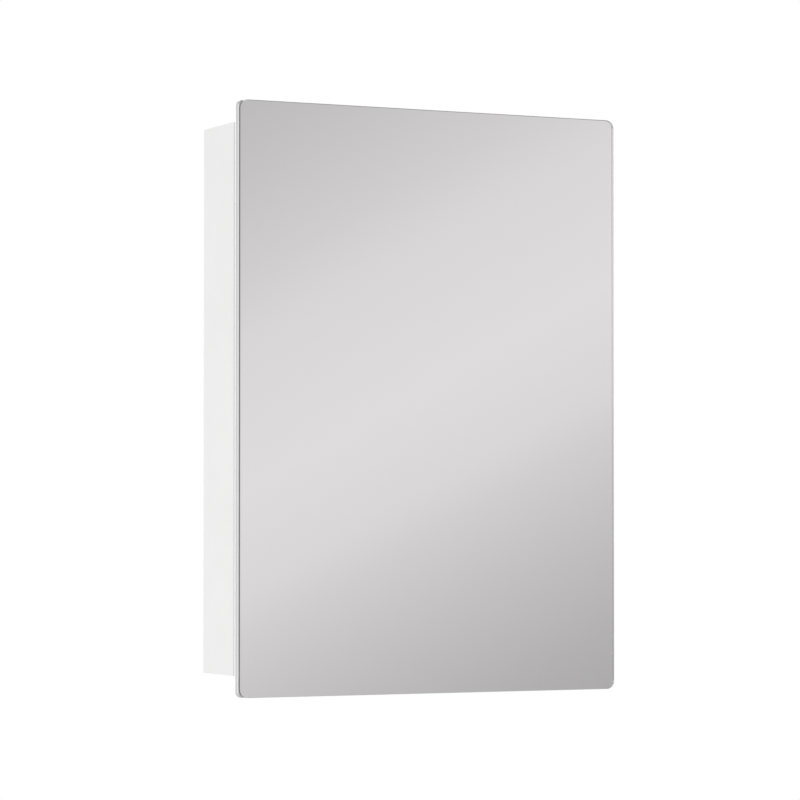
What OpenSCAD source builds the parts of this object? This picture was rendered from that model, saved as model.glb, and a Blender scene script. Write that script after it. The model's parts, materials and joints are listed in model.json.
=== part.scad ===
// Wall-hung medicine cabinet with one mirror door and three glass shelves.
// The carcass is folded from sheet steel and the door is hung on a full-length hinge.
//
// +X points to the viewer's right, +Y into the wall and +Z up. The mirror faces -Y.
// The origin is the centre of the four wall holes, on the plane of the wall.

/* [Carcass] */
// Width of the carcass, and of the door
body_w = 500; // [400:10:600]
// Height of the carcass, and length of the hinge
body_h = 650; // [500:50:800]
// Depth of the carcass, from the wall to the face of its front flanges
body_d = 94; // [84:1:130]
// Thickness of the carcass sheet
sheet_t = 1.2; // [1:0.1:1.5]
// Outer radius of the folds in the carcass sheet
fold_r = 2; // [1.8:0.1:2.5]
// Width of the front and rear flanges
flange_w = 18; // [18:1:24]
// Length of the lip folded back behind a front flange
lip_w = 8; // [4:1:10]

/* [Wall fixing] */
// Distance of the wall holes from the carcass's sides, top and bottom
hole_inset = 50; // [46:1:90]
// Diameter of a wall hole
hole_d = 6; // [4:0.5:8]

/* [Door] */
// How far the door stands out past the carcass at the top and at the bottom
overhang = 25; // [0:1:40]
// Corner radius of the door, seen from the front
door_r = 10; // [8:1:30]
// Thickness of the mirror, with its silvering
mirror_t = 4; // [3:0.5:6]
// Thickness of the tape between the mirror and the door pan
tape_t = 1; // [0.5:0.5:2]
// Depth of the door pan
pan_d = 9.5; // [8:0.5:16]

/* [Hinge] */
// Gap between the carcass and the door, which the folded hinge fills
hinge_gap = 4; // [4:0.1:5]
// Radius of the hinge knuckles
knuckle_r = 1.7; // [1.6:0.05:1.9]
// Radius of the hinge pin
pin_r = 0.8; // [0.6:0.05:0.9]
// Width of a hinge leaf, from the pin's centre to its edge
leaf_w = 13; // [11:0.5:14]

/* [Shelves] */
// Thickness of a glass shelf
shelf_t = 5; // [4:1:8]
// Distance between the slots of a shelf rail
slot_pitch = 32; // [24:1:40]

/* [Hidden] */

$fn = 48;
cut = 1;            // how far a cutting shape runs past the face it cuts
fit = 0.2;          // gap between two sheets that meet edge to edge

white = "#f2f2f0";
silver_grey = "#c8c8c8";
steel = "#a8acb0";

// Carcass
side_x = body_w / 2;                    // outer face of a side panel
top_z = body_h / 2;                     // outer face of the top panel
front_y = -body_d;                      // face of the front flanges
tab_h = 14;                             // tabs that join the top and bottom to the sides
tab_front_y = front_y + lip_w + 6;
tab_rear_y = -8;
back_t = 1;                             // thickness of the back panel
back_front_y = -sheet_t - back_t;
side_rivet_pitch = 0.29 * body_h;
end_rivet_x = body_w / 4;
flange_mid = flange_w / 2;

// Blind rivets
rivet_r = 1.5;
rivet_head_r = 2.8;
rivet_head_h = 0.9;
tail_r = 2;
tail_h = 0.7;

// Wall fixing
hole_x = side_x - hole_inset;
hole_z = top_z - hole_inset;
wall_plate_w = 44;
wall_plate_r = 5;

// Door, measured forwards from its rear plane
rear_y = front_y - hinge_gap;
door_w = body_w;
door_h = body_h + 2 * overhang;
pan_t = 1;
pan_fold_r = 1.5;                       // folds at the back of the pan
pan_front_r = 3.5;                      // folds around its front
pan_rim_w = 4;                          // width of the swept part of the pan's edge
pan_r = max(door_r - 4, pan_rim_w + 1); // the pan's corners are tighter than the mirror's
pan_return = 16;                        // width of the flange at the back of the pan
rim_w = 6;                              // width of the swept part of the mirror's edge
silver_t = 0.2;
silver_z = pan_d + tape_t;
silver_inset = 0.6;
film_t = 0.02;                          // room between the silvering and the glass
glass_z = silver_z + silver_t;
glass_t = mirror_t - silver_t;
arris_r = 0.3;                          // rounding of the mirror's front edge
liner_t = 0.8;
liner_inset = pan_return - 3.5;
liner_r = 4;
stiffener_x = 0.18 * body_w;
stiffener_w = 40;
stiffener_t = 1;
stiffener_h = door_h - 2 * pan_return - 30;
tape_w = 12;
tape_h = door_h - 40;
tape_reach = door_w / 2 - 14;           // centre of the outermost strip of tape

// Hinge, with the pin's axis as its centre
pin_x = -side_x + knuckle_r + 0.1;      // the knuckles lie just inside the side's face
pin_y = front_y - hinge_gap / 2;
bore_r = pin_r + 0.05;
leaf_t = 0.6;
leaf_root = 2;                          // where the flat part of a leaf starts
knuckle_count = 2 * floor(body_h / 50) + 1;
knuckle_pitch = body_h / knuckle_count;
knuckle_play = 0.3;
pin_inset = 0.5;                        // how far the pin's ends lie inside the knuckles
hinge_rivet_x = 8;
hinge_rivet_count = 8;
hinge_rivet_pitch = body_h / hinge_rivet_count;

// Shelves and their rails
rail_t = 1;
rail_d = 4;
rail_w = 14;
rail_bend_r = 1.2;
rail_foot = 5;
rail_h = body_h - 90;
rail_x = side_x - sheet_t - rail_d;     // face of a rail
rail_front_y = front_y + 22;
rail_rear_y = -20;
slot_w = 5;
slot_h = 10;
slot_count = floor((rail_h / 2 - slot_h) / slot_pitch);
clip_w = 9;
clip_t = 1.2;
clip_reach = 9;
clip_drop = 14;
clip_rise = 6;                          // from a slot's centre to the top of the clip
hook_w = slot_w - 0.6;
hook_t = 1.2;
hook_l = 8;
hook_drop = 1;                          // from a slot's centre to the top of the hook
hook_play = 0.1;
pad_t = 0.8;
pad_inset = 0.4;
shelf_rest = 0.05;                      // gap that keeps a shelf clear of its pads
shelf_x = rail_x - 2.3;
shelf_front_y = front_y + lip_w + 2;
shelf_rear_y = -5;
shelf_edge_r = 1.2;
shelf_step = round(body_h / 4 / slot_pitch) * slot_pitch;

// Magnetic catches, on the side away from the hinge
catch_x = side_x - flange_mid;
catch_z = (shelf_step + top_z) / 2;      // between the outer shelf and the end panel
catch_w = 13;
catch_d = 12.8;
catch_h = 56;
catch_r = 2;
nose_w = 8.4;
nose_h = 20.4;
nose_r = 0.8;
window_play = 0.2;
strike_gap = 0.3;
strike_t = 1;
strike_w = 12;
strike_h = 40;
strike_r = 2;
pole_t = 1.2;
pole_h = 18;
pole_front = hinge_gap - strike_t - strike_gap;     // the poles stop just short of the strike
magnet_t = 5;
magnet_d = 10;
magnet_inset = 0.6;                     // from the front of the poles to the magnet
pole_d = magnet_d + pole_front;
nose_d = pole_front - 1;                // how far the nose stands out of the flange
strike_rivet_z = 16;
catch_screw_z = 22;
screw_r = 1.1;
screw_l = sheet_t + catch_d - 2;
screw_hole_r = 1.4;
screw_head_r = 2.8;
screw_head_h = 1.5;
screw_head_round = 0.8;
recess_l = 2.8;
recess_w = 0.6;
recess_d = 0.7;
buffer_z = top_z - 24;
buffer_r = 4;
buffer_h = hinge_gap - 0.3;
buffer_round = 1.6;

// ---------- Shared shapes ----------

// A rectangle from one corner to the opposite one, with round corners.
module rounded_box(x0, y0, x1, y1, r) {
    translate([x0 + r, y0])
        square([x1 - x0 - 2 * r, y1 - y0]);
    translate([x0, y0 + r])
        square([x1 - x0, y1 - y0 - 2 * r]);
    for (x = [x0 + r, x1 - r], y = [y0 + r, y1 - r])
        translate([x, y]) circle(r);
}

module rounded_plate(w, h, r, t) {
    linear_extrude(t) rounded_box(-w / 2, -h / 2, w / 2, h / 2, r);
}

// Mirrors its children to the other side of X = 0 as well.
module both_sides() {
    children();
    mirror([1, 0, 0]) children();
}

module both_levels(z) {
    for (level = [-z, z])
        translate([0, 0, level]) children();
}

// Lays a shape drawn in X, Y and forward into the door: Z forwards becomes -Y.
module in_door() {
    translate([0, rear_y, 0]) rotate([90, 0, 0]) children();
}

// A shape drawn about Z, with Z pointing out of the sheet, turned to point at the viewer.
module facing_viewer(x, y, z) {
    translate([x, y, z]) rotate([90, 0, 0]) children();
}

// A blind rivet through the given grip: domed head at the front, round tail behind.
module rivet(grip) {
    dome_r = (pow(rivet_head_r, 2) + pow(rivet_head_h, 2)) / (2 * rivet_head_h);
    translate([0, 0, -grip - tail_h]) cylinder(h = tail_h, r = tail_r);
    translate([0, 0, -grip]) cylinder(h = grip, r = rivet_r);
    rotate_extrude()
        intersection() {
            translate([0, rivet_head_h - dome_r]) circle(dome_r, $fn = 96);
            square([rivet_head_r, rivet_head_h]);
        }
}

module rivet_hole(depth) {
    translate([0, 0, -depth - cut]) cylinder(h = depth + 2 * cut, r = rivet_r);
}

// ---------- Carcass ----------

// Cross-section of a carcass panel. X runs forwards from the wall and Y inwards from the
// outer face: rear flange, web, front flange, and a lip folded back behind it.
module panel_section() {
    difference() {
        union() {
            rounded_box(0, 0, body_d, flange_w, fold_r);
            translate([0, flange_mid]) square([flange_mid, flange_mid]);
        }
        rounded_box(sheet_t, sheet_t, body_d - sheet_t, flange_w - sheet_t, fold_r - sheet_t);
        translate([sheet_t, flange_mid]) square([body_d - lip_w - sheet_t, flange_w]);
    }
}

module side_sheet() {
    difference() {
        translate([-side_x, 0, -top_z]) rotate(-90) linear_extrude(body_h) panel_section();
        both_levels(top_z)
            translate([-side_x + sheet_t, -body_d - cut, -sheet_t])
                cube([flange_w, body_d + 2 * cut, 2 * sheet_t]);
        back_rivet_holes();
    }
}

module left_side_panel() {
    color(white)
        difference() {
            side_sheet();
            hinge_rivet_places(front_y) rivet_hole(sheet_t);
        }
}

module right_side_panel() {
    color(white)
        difference() {
            mirror([1, 0, 0]) side_sheet();
            both_levels(catch_z)
                translate([catch_x, front_y, 0]) {
                    cube([
                        nose_w + 2 * window_play,
                        4 * sheet_t,
                        nose_h + 2 * window_play
                    ], center = true);
                    both_levels(catch_screw_z)
                        rotate([90, 0, 0])
                            cylinder(h = 4 * sheet_t, r = screw_hole_r, center = true);
                }
        }
}

// The top sheet. Its flanges fit between those of the sides, and its end tabs are spot-welded
// to the inside of the side webs.
module end_sheet() {
    length = body_w - 2 * sheet_t;
    difference() {
        translate([-length / 2, 0, top_z])
            rotate([-90, 0, 0]) rotate([0, 90, 0]) linear_extrude(length) panel_section();
        both_sides()
            translate([side_x - flange_w - fit, -body_d - cut, top_z - flange_w - cut])
                cube([flange_w + cut, body_d + 2 * cut, flange_w + cut - sheet_t]);
        back_rivet_holes();
    }
    both_sides()
        translate([length / 2 - sheet_t, tab_front_y, top_z - tab_h])
            cube([sheet_t, tab_rear_y - tab_front_y, tab_h]);
}

module top_panel() {
    color(white) end_sheet();
}

module bottom_panel() {
    color(white) mirror([0, 0, 1]) end_sheet();
}

// Where the back panel is riveted to the rear flanges.
module back_rivet_places() {
    for (sx = [-1, 1], k = [-1.5:1:1.5])
        facing_viewer(sx * (side_x - flange_mid), back_front_y, k * side_rivet_pitch)
            children();
    for (sx = [-1, 1], sz = [-1, 1])
        facing_viewer(sx * end_rivet_x, back_front_y, sz * (top_z - flange_mid))
            children();
}

module back_rivet_holes() {
    back_rivet_places() rivet_hole(back_t + sheet_t);
}

module wall_holes() {
    for (x = [-hole_x, hole_x], z = [-hole_z, hole_z])
        translate([x, 0, z]) rotate([90, 0, 0])
            cylinder(h = 4 * (sheet_t + back_t), d = hole_d, center = true);
}

module back_panel() {
    w = body_w - 2 * fold_r - fit;
    h = body_h - 2 * fold_r - fit;
    color(white)
        difference() {
            translate([-w / 2, back_front_y, -h / 2]) cube([w, back_t, h]);
            back_rivet_holes();
            wall_holes();
        }
}

// The tail of each rivet ends flush with the wall side of the flange.
module back_rivets() {
    color(steel)
        intersection() {
            back_rivet_places() rivet(back_t + sheet_t);
            translate([-side_x, -body_d, -top_z]) cube([body_w, body_d, body_h]);
        }
}

// Reinforcing plates that fill the space between the back panel and the wall.
module wall_plates() {
    color(steel)
        difference() {
            for (x = [-hole_x, hole_x], z = [-hole_z, hole_z])
                translate([x, 0, z]) rotate([90, 0, 0])
                    rounded_plate(wall_plate_w, wall_plate_w, wall_plate_r, sheet_t);
            wall_holes();
        }
}

// ---------- Shelf rails, clips and shelves ----------

// Cross-section of a shelf rail. X runs along the side panel and Y into the cabinet.
module rail_section() {
    difference() {
        rounded_box(-rail_w / 2, -rail_d, rail_w / 2, rail_d, rail_bend_r);
        rounded_box(
            -rail_w / 2 + rail_t, -rail_d, rail_w / 2 - rail_t, rail_d - rail_t,
            rail_bend_r - rail_t
        );
        translate([-rail_w, -2 * rail_d]) square([2 * rail_w, 2 * rail_d]);
    }
    for (x = [-rail_w / 2 - rail_foot, rail_w / 2 - rail_t])
        translate([x, 0]) square([rail_foot + rail_t, rail_t]);
}

// A slotted rail on the left side panel.
module rail(y) {
    color(steel)
        difference() {
            translate([-side_x + sheet_t, y, -rail_h / 2])
                rotate(-90) linear_extrude(rail_h) rail_section();
            for (k = [-slot_count:slot_count])
                translate([-rail_x, y, k * slot_pitch])
                    cube([4 * rail_t, slot_w, slot_h], center = true);
        }
}

module left_front_rail() {
    rail(rail_front_y);
}

module left_rear_rail() {
    rail(rail_rear_y);
}

module right_front_rail() {
    mirror([1, 0, 0]) rail(rail_front_y);
}

module right_rear_rail() {
    mirror([1, 0, 0]) rail(rail_rear_y);
}

// A clip hooked into the slot at the given level: face plate, ledge, and a hook behind the rail.
module clip(slot_z) {
    hook_x = -rail_x - rail_t - hook_play - hook_t;
    translate([-rail_x, -clip_w / 2, slot_z + clip_rise - clip_drop])
        cube([clip_t, clip_w, clip_drop]);
    translate([-rail_x, -clip_w / 2, slot_z + clip_rise - clip_t])
        cube([clip_reach, clip_w, clip_t]);
    translate([hook_x, -hook_w / 2, slot_z - slot_h / 2])
        cube([hook_t + rail_t + cut, hook_w, slot_h / 2 - hook_drop]);
    translate([hook_x, -hook_w / 2, slot_z - hook_drop - hook_l])
        cube([hook_t, hook_w, hook_l]);
}

// Repeats a shape drawn at Y = 0 on the four rails.
module on_each_rail() {
    for (y = [rail_front_y, rail_rear_y])
        both_sides() translate([0, y, 0]) children();
}

module shelf_clips(slot_z) {
    color(steel) on_each_rail() clip(slot_z);
}

module upper_shelf_clips() {
    shelf_clips(shelf_step);
}

module middle_shelf_clips() {
    shelf_clips(0);
}

module lower_shelf_clips() {
    shelf_clips(-shelf_step);
}

// Soft pads between the clips and the glass.
module clip_pads() {
    color("#dfe3e4")
        for (slot_z = [-shelf_step, 0, shelf_step])
            on_each_rail()
                translate([-rail_x + clip_t + pad_inset, -clip_w / 2 + pad_inset, slot_z + clip_rise])
                    cube([clip_reach - clip_t - 2 * pad_inset, clip_w - 2 * pad_inset, pad_t]);
}

module shelf(slot_z) {
    low = slot_z + clip_rise + pad_t + shelf_rest;
    color("#cfe6e0", 0.5)
        translate([-shelf_x, 0, low])
            rotate([90, 0, 90])
                linear_extrude(2 * shelf_x)
                    rounded_box(shelf_front_y, 0, shelf_rear_y, shelf_t, shelf_edge_r);
}

module upper_shelf() {
    shelf(shelf_step);
}

module middle_shelf() {
    shelf(0);
}

module lower_shelf() {
    shelf(-shelf_step);
}

// ---------- Magnetic catches and buffers ----------

// Draws its children with Z pointing at the viewer from the face of the front flange.
module at_catch(z) {
    facing_viewer(catch_x, front_y, z) children();
}

module catch_housing(z) {
    cavity_w = 2 * pole_t + magnet_t + 0.1;
    cavity_h = pole_h + 0.1;
    color(white)
        at_catch(z)
            difference() {
                union() {
                    translate([0, 0, -sheet_t - catch_d])
                        rounded_plate(catch_w, catch_h, catch_r, catch_d);
                    translate([0, 0, -sheet_t - cut])
                        rounded_plate(nose_w, nose_h, nose_r, sheet_t + cut + nose_d);
                }
                translate([0, 0, -catch_d / 2 + nose_d / 2])
                    cube([cavity_w, cavity_h, catch_d + nose_d + cut], center = true);
                for (y = [-catch_screw_z, catch_screw_z])
                    translate([0, y, -sheet_t - catch_d - cut])
                        cylinder(h = catch_d + 2 * cut, r = screw_r + 0.05);
            }
}

module upper_catch_housing() {
    catch_housing(catch_z);
}

module lower_catch_housing() {
    catch_housing(-catch_z);
}

module catch_magnets() {
    color("#3a3a3c")
        for (z = [-catch_z, catch_z])
            at_catch(z)
                translate([-magnet_t / 2, -pole_h / 2, pole_front - magnet_inset - magnet_d])
                    cube([magnet_t, pole_h, magnet_d]);
}

module catch_pole_plates() {
    color(steel)
        for (z = [-catch_z, catch_z], side = [-1, 1])
            at_catch(z)
                translate([side * (magnet_t + pole_t) / 2, 0, pole_front - pole_d / 2])
                    cube([pole_t, pole_h, pole_d], center = true);
}

module catch_screws() {
    color(steel)
        for (z = [-catch_z, catch_z], y = [-catch_screw_z, catch_screw_z])
            at_catch(z)
                translate([0, y, 0])
                    difference() {
                        union() {
                            rotate_extrude()
                                intersection() {
                                    rounded_box(
                                        -screw_head_r, -screw_head_h,
                                        screw_head_r, screw_head_h, screw_head_round
                                    );
                                    square([screw_head_r, screw_head_h]);
                                }
                            translate([0, 0, -screw_l]) cylinder(h = screw_l, r = screw_r);
                        }
                        for (turn = [0, 90])
                            rotate(turn)
                                translate([0, 0, screw_head_h])
                                    cube([recess_l, recess_w, 2 * recess_d], center = true);
                    }
}

module door_buffers() {
    color("#e4e6e6")
        for (z = [-buffer_z, buffer_z])
            at_catch(z)
                rotate_extrude()
                    intersection() {
                        rounded_box(-buffer_r, -buffer_h, buffer_r, buffer_h, buffer_round);
                        square([buffer_r, buffer_h]);
                    }
}

// ---------- Hinge ----------

module hinge_rivet_places(face_y) {
    for (k = [0:hinge_rivet_count - 1])
        facing_viewer(
            pin_x + hinge_rivet_x,
            face_y,
            -top_z + (k + 0.5) * hinge_rivet_pitch
        ) children();
}

// One leaf, drawn around the pin's axis, with its plate on the +Y side. It owns every second
// knuckle.
module hinge_leaf(first) {
    outer = hinge_gap / 2;
    inner = outer - leaf_t;
    difference() {
        union() {
            translate([leaf_root, inner, -top_z]) cube([leaf_w - leaf_root, leaf_t, body_h]);
            for (k = [first:2:knuckle_count - 1])
                translate([0, 0, -top_z + k * knuckle_pitch + knuckle_play / 2])
                    linear_extrude(knuckle_pitch - knuckle_play) {
                        circle(knuckle_r);
                        polygon([
                            [0, knuckle_r - leaf_t],
                            [0, knuckle_r],
                            [leaf_root + leaf_t, outer],
                            [leaf_root + leaf_t, inner]
                        ]);
                    }
        }
        translate([0, 0, -top_z - cut]) cylinder(h = body_h + 2 * cut, r = bore_r);
    }
}

module hinge_cabinet_leaf() {
    color(white)
        difference() {
            translate([pin_x, pin_y, 0]) hinge_leaf(0);
            hinge_rivet_places(front_y) rivet_hole(sheet_t);
        }
}

module hinge_door_leaf() {
    color(white)
        difference() {
            translate([pin_x, pin_y, 0]) mirror([0, 1, 0]) hinge_leaf(1);
            hinge_rivet_places(rear_y) rivet_hole(sheet_t);
        }
}

module hinge_pin() {
    color(steel)
        translate([pin_x, pin_y, -top_z + pin_inset])
            cylinder(h = body_h - 2 * pin_inset, r = pin_r);
}

module hinge_cabinet_rivets() {
    color(steel) hinge_rivet_places(front_y - leaf_t) rivet(leaf_t + sheet_t);
}

module hinge_door_rivets() {
    color(steel)
        hinge_rivet_places(rear_y + leaf_t) mirror([0, 0, 1]) rivet(leaf_t + pan_t);
}

// ---------- Door ----------

// Sweeps a profile round a rectangle with round corners. The profile's X is 0 at the
// outer edge and negative inwards, and its Y runs forwards.
module rim_sweep(w, h, r) {
    for (k = [0:3]) {
        half = k % 2 == 0 ? w / 2 : h / 2;
        run = k % 2 == 0 ? h - 2 * r : w - 2 * r;
        rotate(90 * k) {
            translate([half, run / 2, 0]) rotate([90, 0, 0]) linear_extrude(run) children();
            translate([half - r, run / 2, 0])
                rotate_extrude(angle = 90) translate([r, 0]) children();
        }
    }
}

// Outline across the pan's edge, drawn in by a distance all round.
module pan_edge(x0, inwards) {
    spare = 3 * pan_front_r;
    intersection() {
        rounded_box(x0, inwards, -inwards, pan_d + spare, pan_fold_r - inwards);
        rounded_box(x0, -spare, -inwards, pan_d - inwards, pan_front_r - inwards);
    }
}

// Folded edge of the pan: front leg, wall and rear leg.
module pan_rim_section() {
    difference() {
        pan_edge(-3 * pan_rim_w, 0);
        pan_edge(-4 * pan_rim_w, pan_t);
        translate([-5 * pan_rim_w, -cut]) square([4 * pan_rim_w, pan_d + 2 * cut]);
    }
}

module door_pan() {
    inset = pan_rim_w - 1;
    inner_r = pan_r - inset;
    color(silver_grey)
        difference() {
            in_door() {
                rim_sweep(door_w, door_h, pan_r) pan_rim_section();
                translate([0, 0, pan_d - pan_t])
                    rounded_plate(door_w - 2 * inset, door_h - 2 * inset, inner_r, pan_t);
                difference() {
                    rounded_plate(door_w - 2 * inset, door_h - 2 * inset, inner_r, pan_t);
                    translate([0, 0, -cut])
                        rounded_plate(
                            door_w - 2 * pan_return, door_h - 2 * pan_return,
                            liner_r, pan_t + 2 * cut
                        );
                }
            }
            hinge_rivet_places(rear_y) rivet_hole(pan_t);
            strike_rivet_places() rivet_hole(pan_t);
        }
}

module door_liner() {
    color(white)
        in_door()
            translate([0, 0, pan_t])
                rounded_plate(
                    door_w - 2 * liner_inset, door_h - 2 * liner_inset, liner_r, liner_t
                );
}

// Two channels between the liner and the front of the pan.
module door_stiffeners() {
    depth = pan_d - 2 * pan_t - liner_t;
    color(steel)
        both_sides()
            in_door()
                translate([stiffener_x, stiffener_h / 2, pan_t + liner_t])
                    rotate([90, 0, 0])
                        linear_extrude(stiffener_h)
                            difference() {
                                translate([-stiffener_w / 2, 0]) square([stiffener_w, depth]);
                                translate([-stiffener_w / 2 + stiffener_t, stiffener_t])
                                    square([stiffener_w - 2 * stiffener_t, depth]);
                            }
}

module mirror_tape() {
    color("#4a4a4a")
        in_door()
            for (k = [-1:0.4:1])
                translate([k * tape_reach - tape_w / 2, -tape_h / 2, pan_d])
                    cube([tape_w, tape_h, tape_t]);
}

module mirror_silvering() {
    color("silver")
        in_door()
            translate([0, 0, silver_z])
                rounded_plate(
                    door_w - 2 * silver_inset, door_h - 2 * silver_inset,
                    door_r - silver_inset, silver_t - film_t
                );
}

// Edge of the glass, with its front corner rounded.
module glass_rim_section() {
    intersection() {
        rounded_box(-2 * rim_w, -glass_t, 0, glass_t, arris_r);
        translate([-rim_w, 0]) square([rim_w, glass_t]);
    }
}

module mirror_glass() {
    inset = rim_w - 1;
    color("#dfe5e6")
        in_door()
            translate([0, 0, glass_z]) {
                rim_sweep(door_w, door_h, door_r) glass_rim_section();
                rounded_plate(door_w - 2 * inset, door_h - 2 * inset, door_r - inset, glass_t);
            }
}

// ---------- Strike plates ----------

module strike_rivet_places() {
    for (z = [-catch_z, catch_z], dz = [-strike_rivet_z, strike_rivet_z])
        facing_viewer(catch_x, rear_y, z + dz) children();
}

module strike_plates() {
    color(steel)
        difference() {
            for (z = [-catch_z, catch_z])
                translate([catch_x, rear_y + strike_t, z]) rotate([90, 0, 0])
                    rounded_plate(strike_w, strike_h, strike_r, strike_t);
            strike_rivet_places() rivet_hole(pan_t + strike_t);
        }
}

module strike_rivets() {
    color(steel)
        strike_rivet_places()
            translate([0, 0, -strike_t]) mirror([0, 0, 1]) rivet(strike_t + pan_t);
}

left_side_panel();
right_side_panel();
top_panel();
bottom_panel();
back_panel();
back_rivets();
wall_plates();
left_front_rail();
left_rear_rail();
right_front_rail();
right_rear_rail();
upper_shelf();
middle_shelf();
lower_shelf();
upper_shelf_clips();
middle_shelf_clips();
lower_shelf_clips();
clip_pads();
upper_catch_housing();
lower_catch_housing();
catch_magnets();
catch_pole_plates();
catch_screws();
door_buffers();
hinge_cabinet_leaf();
hinge_pin();
hinge_cabinet_rivets();
hinge_door_leaf();
hinge_door_rivets();
door_pan();
door_liner();
door_stiffeners();
mirror_tape();
mirror_silvering();
mirror_glass();
strike_plates();
strike_rivets();
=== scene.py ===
import json
import math

import bmesh
import bpy
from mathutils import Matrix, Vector


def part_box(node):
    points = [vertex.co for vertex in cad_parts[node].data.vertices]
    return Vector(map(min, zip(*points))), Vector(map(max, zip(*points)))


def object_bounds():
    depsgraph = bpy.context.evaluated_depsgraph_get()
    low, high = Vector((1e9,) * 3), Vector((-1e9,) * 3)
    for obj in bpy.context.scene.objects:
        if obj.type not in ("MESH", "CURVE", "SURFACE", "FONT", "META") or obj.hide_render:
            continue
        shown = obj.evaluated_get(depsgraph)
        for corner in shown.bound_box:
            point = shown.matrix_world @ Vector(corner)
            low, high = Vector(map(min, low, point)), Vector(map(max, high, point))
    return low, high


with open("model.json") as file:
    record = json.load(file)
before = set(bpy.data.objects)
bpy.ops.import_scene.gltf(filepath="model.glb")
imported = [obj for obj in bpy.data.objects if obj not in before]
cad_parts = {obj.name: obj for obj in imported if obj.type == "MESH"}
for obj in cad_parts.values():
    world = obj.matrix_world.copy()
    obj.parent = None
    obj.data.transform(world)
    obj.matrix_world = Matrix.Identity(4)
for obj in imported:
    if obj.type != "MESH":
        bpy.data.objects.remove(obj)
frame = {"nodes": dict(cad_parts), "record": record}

cad_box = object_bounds()

# ---------------------------------------------------------------- named values
NODES = frame["nodes"]

# The camera stands to the left of the cabinet, a little below its middle. It looks almost
# level, so upright edges stay nearly upright, and a small lens shift frames the cabinet.
CAMERA_AZIMUTH = -25.8185               # degrees off the straight view of the mirror
CAMERA_TILT = 1.2                       # degrees above level
CAMERA_PLACE = (-1.8031, -3.7511, -0.1387)
CLIP_START = 0.05
FOCAL_WIDTHS = 4.2335                   # focal length, in widths of the sensor
SHIFT_Y = 0.0574
SENSOR = 36.0                           # mm

# Lamps: name, place, width across in metres, power in watts.
LAMP_TARGET = Vector((0.0, 0.0, 0.0))
LAMPS = (
    ("left_light", (-4.9, 0.9, 0.0), 3.0, 118.0),
    ("right_light", (4.0, 0.5, 0.8), 2.4, 50.0),
    ("back_light", (1.5, 4.5, 1.2), 2.4, 60.0),
)

FLOOR_DROP = 1.15                       # from the cabinet's lower edge down to the floor
FLOOR_RADIUS = 2.4
FLOOR_SEGMENTS = 96

GLASS_IOR = 1.52
SILVER = (0.93, 0.92, 0.925)
BACKING_PAINT = (0.12, 0.11, 0.1)


# ---------------------------------------------------------------- node helpers
def math_node(tree, operation, *values):
    """The result of a maths node. Each value is a number, or the output that feeds it."""
    node = tree.nodes.new("ShaderNodeMath")
    node.operation = operation
    for value, socket in zip(values, node.inputs):
        if isinstance(value, (int, float)):
            socket.default_value = value
        else:
            tree.links.new(value, socket)
    return node.outputs["Value"]


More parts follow.
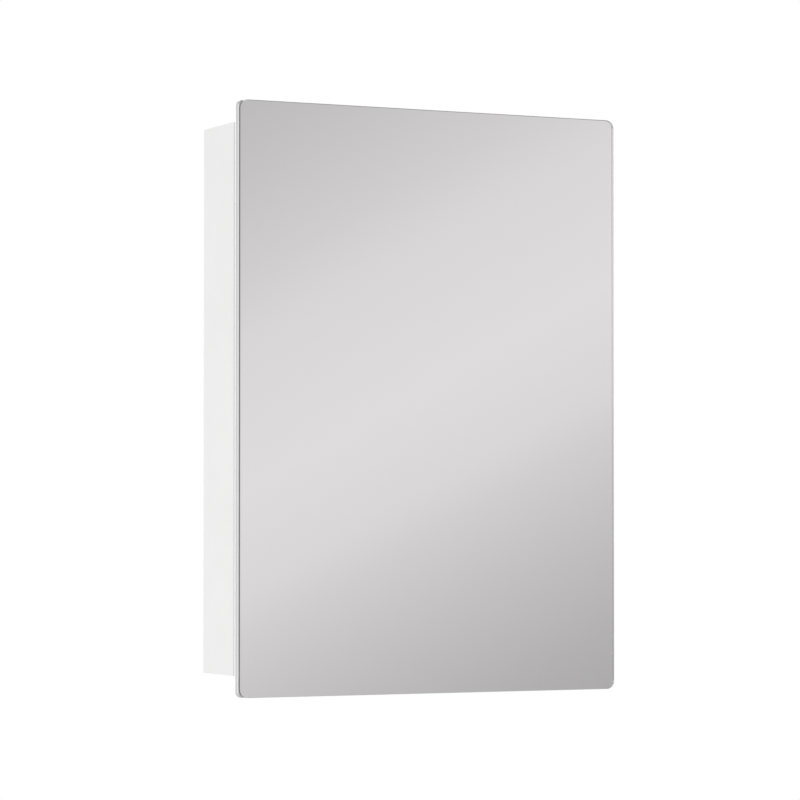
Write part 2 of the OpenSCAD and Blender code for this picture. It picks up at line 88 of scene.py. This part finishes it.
class Shader:
    """A material with one Principled shader, and short calls for the nodes that feed it."""

    def __init__(self, name, **sockets):
        self.material = bpy.data.materials.new(name)
        self.material.use_nodes = True
        self.tree = self.material.node_tree
        self.main = self.tree.nodes["Principled BSDF"]
        for socket, value in sockets.items():
            self.main.inputs[socket.replace("_", " ")].default_value = value
        self.texture = self.add("ShaderNodeTexCoord")
        self.coords = self.texture.outputs["Object"]

    def add(self, kind, **settings):
        node = self.tree.nodes.new(kind)
        for name, value in settings.items():
            setattr(node, name, value)
        return node

    def link(self, source, target):
        self.tree.links.new(source, target)

    def stretched(self, scale):
        """The object's coordinates, scaled differently along X, Y and Z."""
        mapping = self.add("ShaderNodeMapping")
        mapping.inputs["Scale"].default_value = scale
        self.link(self.coords, mapping.inputs["Vector"])
        return mapping.outputs["Vector"]

    def noise(self, scale, detail=3.0, rough=0.55, coords=None):
        node = self.add("ShaderNodeTexNoise")
        node.inputs["Scale"].default_value = scale
        node.inputs["Detail"].default_value = detail
        node.inputs["Roughness"].default_value = rough
        self.link(coords or self.coords, node.inputs["Vector"])
        return node.outputs["Fac"]

    def cells(self, scale, feature="F1", output="Distance"):
        node = self.add("ShaderNodeTexVoronoi", feature=feature)
        node.inputs["Scale"].default_value = scale
        self.link(self.coords, node.inputs["Vector"])
        return node.outputs[output]

    def spread(self, source, low, high, from_low=0.3, from_high=0.7):
        """Maps a pattern's usual range to low..high."""
        node = self.add("ShaderNodeMapRange")
        for name, value in (
            ("From Min", from_low),
            ("From Max", from_high),
            ("To Min", low),
            ("To Max", high),
        ):
            node.inputs[name].default_value = value
        self.link(source, node.inputs["Value"])
        return node.outputs["Result"]

    def blend(self, factor, a, b):
        """Mixes two colours by a factor."""
        node = self.add("ShaderNodeMix", data_type="RGBA")
        self.link(factor, node.inputs["Factor"])
        for value, socket in ((a, node.inputs["A"]), (b, node.inputs["B"])):
            if isinstance(value, (tuple, list)):
                socket.default_value = (*value[:3], 1.0)
            else:
                self.link(value, socket)
        return node.outputs["Result"]

    def value_mix(self, factor, a, b):
        """Mixes two plain values by a factor."""
        node = self.add("ShaderNodeMix", data_type="FLOAT")
        self.link(factor, node.inputs["Factor"])
        for value, socket in ((a, node.inputs["A"]), (b, node.inputs["B"])):
            if isinstance(value, float):
                socket.default_value = value
            else:
                self.link(value, socket)
        return node.outputs["Result"]

    def colour(self, source):
        self.link(source, self.main.inputs["Base Color"])

    def roughness(self, source):
        self.link(source, self.main.inputs["Roughness"])

    def bump(self, *layers):
        """Stacks (height, distance in metres, strength) layers into the normal."""
        before = None
        for height, distance, strength in layers:
            node = self.add("ShaderNodeBump")
            node.inputs["Distance"].default_value = distance
            node.inputs["Strength"].default_value = strength
            self.link(height, node.inputs["Height"])
            if before is not None:
                self.link(before, node.inputs["Normal"])
            before = node.outputs["Normal"]
        self.link(before, self.main.inputs["Normal"])

    def facing(self, axis):
        """How squarely the surface faces along one of the object's own axes, 0 to 1."""
        split = self.add("ShaderNodeSeparateXYZ")
        self.link(self.texture.outputs["Normal"], split.inputs["Vector"])
        return math_node(self.tree, "ABSOLUTE", split.outputs[axis])


def shade(colour, factor):
    """A colour made lighter or darker by a factor."""
    return tuple(min(1.0, c * factor) for c in colour[:3])


# ---------------------------------------------------------------- materials
def powder_coat(name, colour, roughness, metallic=0.0, fold_shade_factor=1.0):
    """Sprayed and baked paint: an even colour over faint orange peel, with painted shade that darkens
    it where the sheet is folded.
    """
    s = Shader(name, Metallic=metallic, Coat_Weight=0.15, Coat_Roughness=0.25)
    even = s.blend(s.spread(s.noise(14.0), 0.0, 1.0), shade(colour, 0.985), shade(colour, 1.01))
    # Painted shade: the colour is darkened where the surface turns between its X and Y faces, at each
    # folded edge.
    bend = math_node(s.tree, "MULTIPLY", s.facing("X"), s.facing("Y"))
    fold_shade_mask = s.spread(bend, 0.0, 1.0, 0.1, 0.4)
    s.colour(s.blend(fold_shade_mask, even, shade(colour, fold_shade_factor)))
    s.roughness(s.spread(s.noise(60.0), roughness - 0.04, roughness + 0.05))
    s.bump(
        (s.noise(420.0, detail=2.0), 0.00012, 0.30),
        (s.noise(2600.0, detail=1.0), 0.00003, 0.25),
    )
    return s.material


def zinc_plate(name, colour):
    """Zinc-plated steel: fine crystals, soft patches, and rolling lines."""
    s = Shader(name, Metallic=1.0)
    crystals = s.spread(s.cells(900.0, output="Color"), 0.0, 1.0, 0.0, 1.0)
    patches = s.blend(s.spread(s.noise(55.0), 0.0, 1.0), shade(colour, 0.88), shade(colour, 1.06))
    s.colour(s.blend(crystals, patches, shade(colour, 1.02)))
    s.roughness(s.spread(s.noise(160.0, detail=5.0), 0.26, 0.44))
    s.bump(
        (s.noise(700.0, coords=s.stretched((1.0, 1.0, 0.04))), 0.00004, 0.35),
        (s.noise(1900.0, detail=4.0), 0.00003, 0.3),
    )
    return s.material


def polished(s, axis):
    """1 on the sheet's two faces, and 0 on its edges. Axis is across the sheet."""
    return s.spread(s.facing(axis), 0.0, 1.0, 0.3, 0.9)


def shelf_glass():
    """Clear float glass. Its edges are greener, and a little frosted by the polishing wheel."""
    s = Shader("shelf_glass", Transmission_Weight=1.0, IOR=GLASS_IOR)
    face = polished(s, "Z")
    s.colour(s.blend(face, (0.42, 0.72, 0.62), (0.955, 0.985, 0.975)))
    s.roughness(s.value_mix(face, s.spread(s.noise(500.0), 0.04, 0.12), 0.0))
    return s.material


def mirror_glass():
    """Front pane of the mirror: clear face, ground edge, and silver where it meets the coat.

    Seen from outside, the flat rear face is silver and the edges are ground. Seen from inside,
    the whole rear half is silver and the rest is clear, so that light can leave the glass.
    """
    s = Shader("mirror_float_glass", IOR=GLASS_IOR)
    low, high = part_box("mirror_glass")
    place = s.add("ShaderNodeSeparateXYZ")
    s.link(s.coords, place.inputs["Vector"])
    rear = math_node(s.tree, "GREATER_THAN", place.outputs["Y"], (low[1] + high[1]) / 2)
    squarely = s.facing("Y")
    front_face = s.spread(squarely, 0.0, 1.0, 0.5, 0.85)
    rear_face = s.spread(squarely, 0.0, 1.0, 0.9, 0.95)
    inside = s.add("ShaderNodeNewGeometry").outputs["Backfacing"]
    clear = s.value_mix(inside, s.value_mix(rear, front_face, rear_face), 1.0)
    silvered = s.value_mix(s.value_mix(inside, rear_face, 1.0), 0.0, rear)
    streaks = s.spread(s.noise(900.0, coords=s.stretched((1.0, 1.0, 0.05))), 0.0, 1.0)
    ground = s.blend(streaks, (0.10, 0.105, 0.102), (0.15, 0.16, 0.155))
    s.colour(s.blend(clear, ground, s.blend(silvered, (0.985, 0.99, 0.985), SILVER)))
    s.roughness(s.value_mix(clear, 0.35, 0.0))
    s.link(clear, s.main.inputs["Transmission Weight"])
    s.link(silvered, s.main.inputs["Metallic"])
    return s.material


def silvering():
    """The reflecting coat: silver, with its brown-grey backing paint showing at the edge."""
    s = Shader("mirror_coat", Metallic=1.0)
    flat = polished(s, "Y")
    cloud = s.blend(s.spread(s.noise(3.0), 0.0, 1.0), shade(SILVER, 0.995), shade(SILVER, 1.005))
    s.colour(s.blend(flat, BACKING_PAINT, cloud))
    s.roughness(s.value_mix(flat, 0.5, 0.0))
    return s.material


def foam_tape():
    s = Shader("foam_tape", Roughness=0.95)
    s.colour(s.blend(s.spread(s.noise(300.0), 0.0, 1.0), (0.035, 0.035, 0.037), (0.07, 0.07, 0.07)))
    s.bump((s.cells(2200.0), 0.0003, 0.7))
    return s.material


def soft_rubber():
    s = Shader("soft_pad", Transmission_Weight=0.35, IOR=1.42, Subsurface_Weight=0.2)
    s.main.inputs["Subsurface Scale"].default_value = 0.002
    s.colour(s.blend(s.spread(s.noise(250.0), 0.0, 1.0), (0.74, 0.76, 0.76), (0.84, 0.85, 0.85)))
    s.roughness(s.spread(s.noise(900.0), 0.3, 0.45))
    s.bump((s.noise(1200.0), 0.00005, 0.3))
    return s.material


def moulded_plastic():
    s = Shader("white_plastic")
    s.colour(s.blend(s.spread(s.noise(40.0), 0.0, 1.0), (0.83, 0.83, 0.82), (0.87, 0.87, 0.86)))
    s.roughness(s.spread(s.noise(500.0), 0.42, 0.55))
    s.bump((s.noise(3200.0, detail=4.0), 0.00005, 0.5))
    return s.material


def sintered_ferrite():
    s = Shader("ferrite")
    s.colour(s.blend(s.spread(s.noise(1800.0), 0.0, 1.0), (0.035, 0.035, 0.04), (0.085, 0.085, 0.09)))
    s.roughness(s.spread(s.noise(700.0), 0.5, 0.75))
    s.bump((s.noise(2400.0, detail=5.0), 0.00008, 0.6))
    return s.material


def floor_paint():
    s = Shader("pale_floor")
    s.colour(s.blend(s.spread(s.noise(3.0), 0.0, 1.0), (0.84, 0.84, 0.84), (0.88, 0.88, 0.88)))
    s.roughness(s.spread(s.noise(30.0), 0.6, 0.75))
    return s.material


SLOT_MATERIALS = {
    # The white paint is darkened to 0.72 over its folded edges as painted shade.
    "white_paint": powder_coat("white_paint", (0.86, 0.86, 0.855), 0.42, fold_shade_factor=0.72),
    "hinge_enamel": powder_coat("hinge_enamel", (0.97, 0.97, 0.965), 0.2),
    "silver_paint": powder_coat("silver_paint", (0.64, 0.64, 0.645), 0.42, metallic=0.1),
    "zinc_steel": zinc_plate("zinc_steel", (0.62, 0.63, 0.65)),
    "shelf_glass": shelf_glass(),
    "mirror_float_glass": mirror_glass(),
    "mirror_coat": silvering(),
    "foam_tape": foam_tape(),
    "soft_pad": soft_rubber(),
    "white_plastic": moulded_plastic(),
    "ferrite": sintered_ferrite(),
}


def dress_cad_nodes():
    for part in frame["record"]["subparts"]:
        mesh = NODES[part["node"]].data
        mesh.materials.clear()
        mesh.materials.append(SLOT_MATERIALS[part["material_slot"]])


# ---------------------------------------------------------------- stage and light
def add_floor():
    low, high = Vector(cad_box[0]), Vector(cad_box[1])
    mesh = bpy.data.meshes.new("floor")
    shape = bmesh.new()
    bmesh.ops.create_circle(shape, cap_ends=True, segments=FLOOR_SEGMENTS, radius=FLOOR_RADIUS)
    shape.to_mesh(mesh)
    shape.free()
    floor = bpy.data.objects.new("floor", mesh)
    floor.location = (0.0, (low.y + high.y) / 2, low.z - FLOOR_DROP)
    bpy.context.scene.collection.objects.link(floor)
    mesh.materials.append(floor_paint())


# The studio around the cabinet is a soft band of light with slow falls to either side, the
# same to its left and right. The band's plane passes through BAND_LOW and BAND_HIGH, two
# directions that the mirror shows at its brightest, and its normal points up. Fainter bands
# further out keep the mirror from looking flat when it is seen from elsewhere. A fall is a sine
# of the angle from the plane, and each stop gives the light at so many falls from the plane.
BAND_LOW = Vector((0.395, -0.9187, 0.0085))
BAND_HIGH = Vector((0.4915, -0.8681, 0.0700))
FALL_UP = 0.155
FALL_DOWN = 0.109
BAND_STOPS = (
    (0.0, 0.805),
    (0.25, 0.748),
    (0.35, 0.690),
    (0.5, 0.615),
    (0.65, 0.553),
    (0.8, 0.495),
    (1.0, 0.43),
    (1.6, 0.46),
    (2.8, 0.70),
    (4.2, 0.36),
    (6.0, 0.62),
    (9.0, 0.40),
)
BAND_TINT = (1.0, 0.985, 0.992)
BACKDROP = 1.0


def light_world():
    """White behind the cabinet, and the soft band of light everywhere it is lit or mirrored."""
    world = bpy.data.worlds.new("studio")
    bpy.context.scene.world = world
    world.use_nodes = True
    tree = world.node_tree
    tree.nodes.clear()

    direction = tree.nodes.new("ShaderNodeSeparateXYZ")
    coords = tree.nodes.new("ShaderNodeTexCoord").outputs["Generated"]
    tree.links.new(coords, direction.inputs["Vector"])
    mirrored = tree.nodes.new("ShaderNodeCombineXYZ")
    tree.links.new(math_node(tree, "ABSOLUTE", direction.outputs["X"]), mirrored.inputs["X"])
    tree.links.new(direction.outputs["Y"], mirrored.inputs["Y"])
    tree.links.new(direction.outputs["Z"], mirrored.inputs["Z"])
    across = tree.nodes.new("ShaderNodeVectorMath")
    across.operation = "DOT_PRODUCT"
    across.inputs[1].default_value = BAND_LOW.cross(BAND_HIGH).normalized()
    tree.links.new(mirrored.outputs["Vector"], across.inputs[0])
    side = across.outputs["Value"]
    up = math_node(tree, "GREATER_THAN", side, 0.0)
    width = math_node(tree, "MULTIPLY_ADD", up, FALL_UP - FALL_DOWN, FALL_DOWN)
    fall = math_node(tree, "DIVIDE", math_node(tree, "ABSOLUTE", side), width)
    place = math_node(tree, "DIVIDE", fall, BAND_STOPS[-1][0])

    ramp = tree.nodes.new("ShaderNodeValToRGB")
    ramp.color_ramp.interpolation = "B_SPLINE"
    marks = ramp.color_ramp.elements
    while len(marks) < len(BAND_STOPS):
        marks.new(0.5)
    for mark, (stop, level) in zip(marks, BAND_STOPS):
        mark.position = stop / BAND_STOPS[-1][0]
        mark.color = (*(level * tint for tint in BAND_TINT), 1.0)
    tree.links.new(place, ramp.inputs["Fac"])

    seen = tree.nodes.new("ShaderNodeLightPath").outputs["Is Camera Ray"]
    mix = tree.nodes.new("ShaderNodeMix")
    mix.data_type = "RGBA"
    mix.inputs["B"].default_value = (BACKDROP, BACKDROP, BACKDROP, 1.0)
    tree.links.new(seen, mix.inputs["Factor"])
    tree.links.new(ramp.outputs["Color"], mix.inputs["A"])
    background = tree.nodes.new("ShaderNodeBackground")
    tree.links.new(mix.outputs["Result"], background.inputs["Color"])
    output = tree.nodes.new("ShaderNodeOutputWorld")
    tree.links.new(background.outputs["Background"], output.inputs["Surface"])


def add_lamp(name, place, size, watts):
    """A round soft lamp, turned towards LAMP_TARGET."""
    light = bpy.data.lights.new(name, "AREA")
    light.shape = "DISK"
    light.size = size
    light.energy = watts
    lamp = bpy.data.objects.new(name, light)
    lamp.location = place
    aim = LAMP_TARGET - Vector(place)
    lamp.rotation_euler = aim.to_track_quat("-Z", "Y").to_euler()
    bpy.context.scene.collection.objects.link(lamp)


def add_camera():
    data = bpy.data.cameras.new("camera")
    data.sensor_width = SENSOR
    data.lens = FOCAL_WIDTHS * SENSOR
    data.shift_y = SHIFT_Y
    data.clip_start = CLIP_START
    camera = bpy.data.objects.new("camera", data)
    camera.location = CAMERA_PLACE
    camera.rotation_euler = (math.radians(90 + CAMERA_TILT), 0, math.radians(CAMERA_AZIMUTH))
    bpy.context.scene.collection.objects.link(camera)
    bpy.context.scene.camera = camera
    bpy.context.scene.view_settings.view_transform = "Standard"


add_camera()
light_world()
for lamp_values in LAMPS:
    add_lamp(*lamp_values)
dress_cad_nodes()
add_floor()
